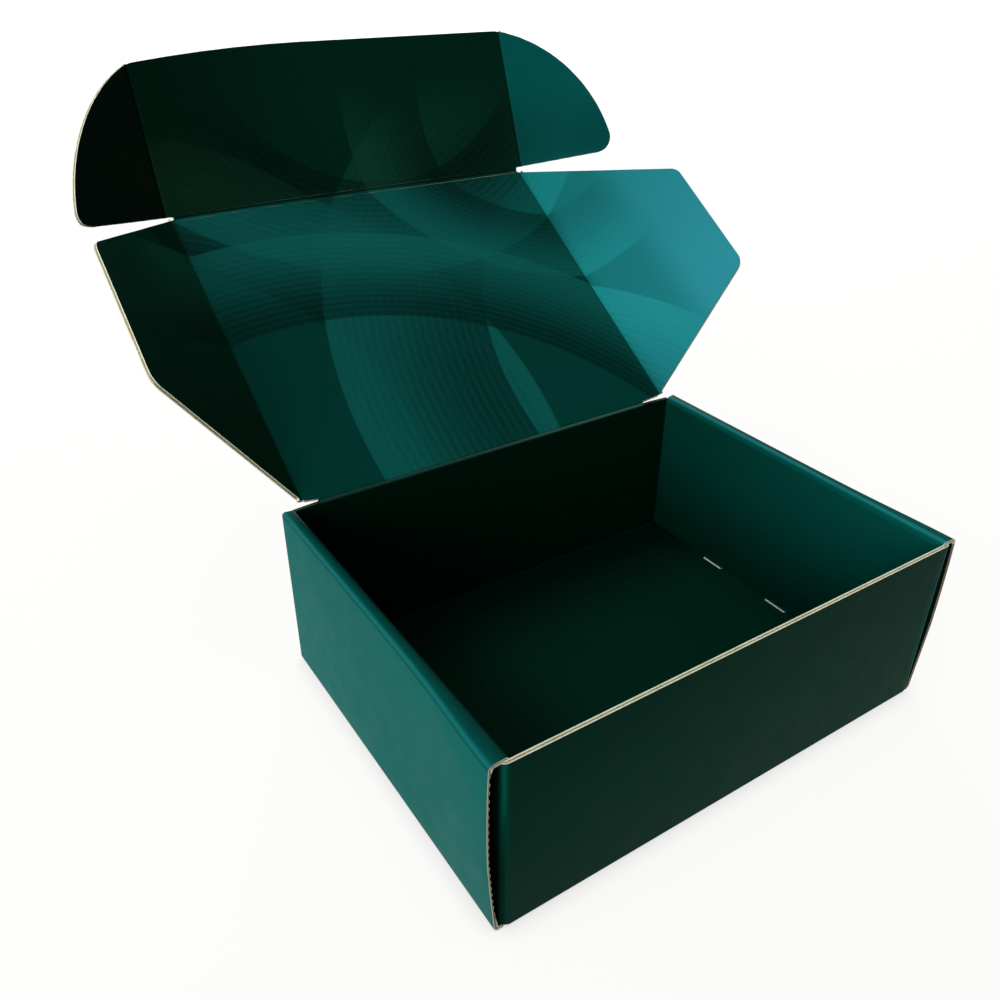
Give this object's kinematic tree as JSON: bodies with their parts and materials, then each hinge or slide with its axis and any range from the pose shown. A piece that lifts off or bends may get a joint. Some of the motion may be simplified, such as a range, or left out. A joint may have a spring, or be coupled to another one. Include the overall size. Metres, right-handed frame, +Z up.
{
  "type": "corrugated mailer box",
  "caption": "Shallow folded mailer box of thin corrugated board, with double side walls and a hinged lid whose tuck flap, ears and side flaps fold in to close it.",
  "frame": {"origin": "centre of the flat underside of the tray's floor", "axes": "+Z up; +X to the right along the front wall; the front wall faces -Y and the lid hinges along the back wall at +Y"},
  "size_m": [0.2946, 0.3154, 0.2307],
  "materials": {
    "printed_board": "satin"
  },
  "bodies": {
    "tray": {"tray": "printed_board"},
    "lid_panel": {"lid_panel": "printed_board"},
    "side_flap_right": {"side_flap_right": "printed_board"},
    "side_flap_left": {"side_flap_left": "printed_board"},
    "tuck_flap": {"tuck_flap": "printed_board"},
    "tuck_ear_right": {"tuck_ear_right": "printed_board"},
    "tuck_ear_left": {"tuck_ear_left": "printed_board"}
  },
  "joints": [
    {"name": "lid_hinge", "type": "hinge", "parent": "tray", "child": "lid_panel", "pos_m": [0, 0.0792, 0.0768], "axis": [1, 0, 0], "range_deg": [-33.4, 96]},
    {"name": "side_flap_right_fold", "type": "hinge", "parent": "lid_panel", "child": "side_flap_right", "pos_m": [0.0963, 0.0792, 0.0768], "axis": [0, -0.8348, -0.5505], "range_deg": [-39, 51]},
    {"name": "side_flap_left_fold", "type": "hinge", "parent": "lid_panel", "child": "side_flap_left", "pos_m": [-0.0963, 0.0792, 0.0768], "axis": [0, 0.8348, 0.5505], "range_deg": [-47.5, 42.5]},
    {"name": "tuck_flap_fold", "type": "hinge", "parent": "lid_panel", "child": "tuck_flap", "pos_m": [0, 0.20977, 0.1629], "axis": [1, 0, 0], "range_deg": [-36.4, 53.6]},
    {"name": "tuck_ear_right_fold", "type": "hinge", "parent": "tuck_flap", "child": "tuck_ear_right", "pos_m": [0.0982, 0.20977, 0.1629], "axis": [0, -0.3453, -0.9385], "range_deg": [-25, 65]},
    {"name": "tuck_ear_left_fold", "type": "hinge", "parent": "tuck_flap", "child": "tuck_ear_left", "pos_m": [-0.0982, 0.20977, 0.1629], "axis": [0, 0.3453, 0.9385], "range_deg": [-37, 53]}
  ]
}
